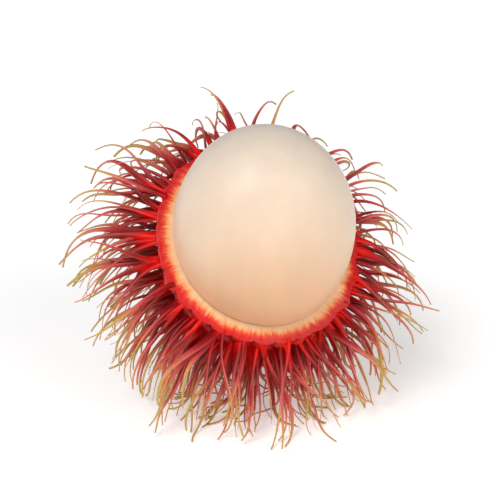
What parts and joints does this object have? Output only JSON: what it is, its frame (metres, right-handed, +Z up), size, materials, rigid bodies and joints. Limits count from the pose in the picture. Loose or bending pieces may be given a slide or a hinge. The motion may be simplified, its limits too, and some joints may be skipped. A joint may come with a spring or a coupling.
{
  "type": "opened rambutan",
  "caption": "Tropical fruit, opened: half of a red rind with long soft spines, cupping a whole pale egg-shaped flesh. Free-standing, it rests on its bent spines.",
  "frame": {"origin": "on the surface the fruit rests on, under the middle of its bounding box", "axes": "+Z up; the fruit's open side, with the bare flesh, faces -Y and up"},
  "size_m": [0.062, 0.051, 0.0473],
  "materials": {
    "rind": "satin",
    "flesh": "satin"
  },
  "bodies": {
    "root": {"husk": "rind", "aril": "flesh"}
  },
  "joints": []
}
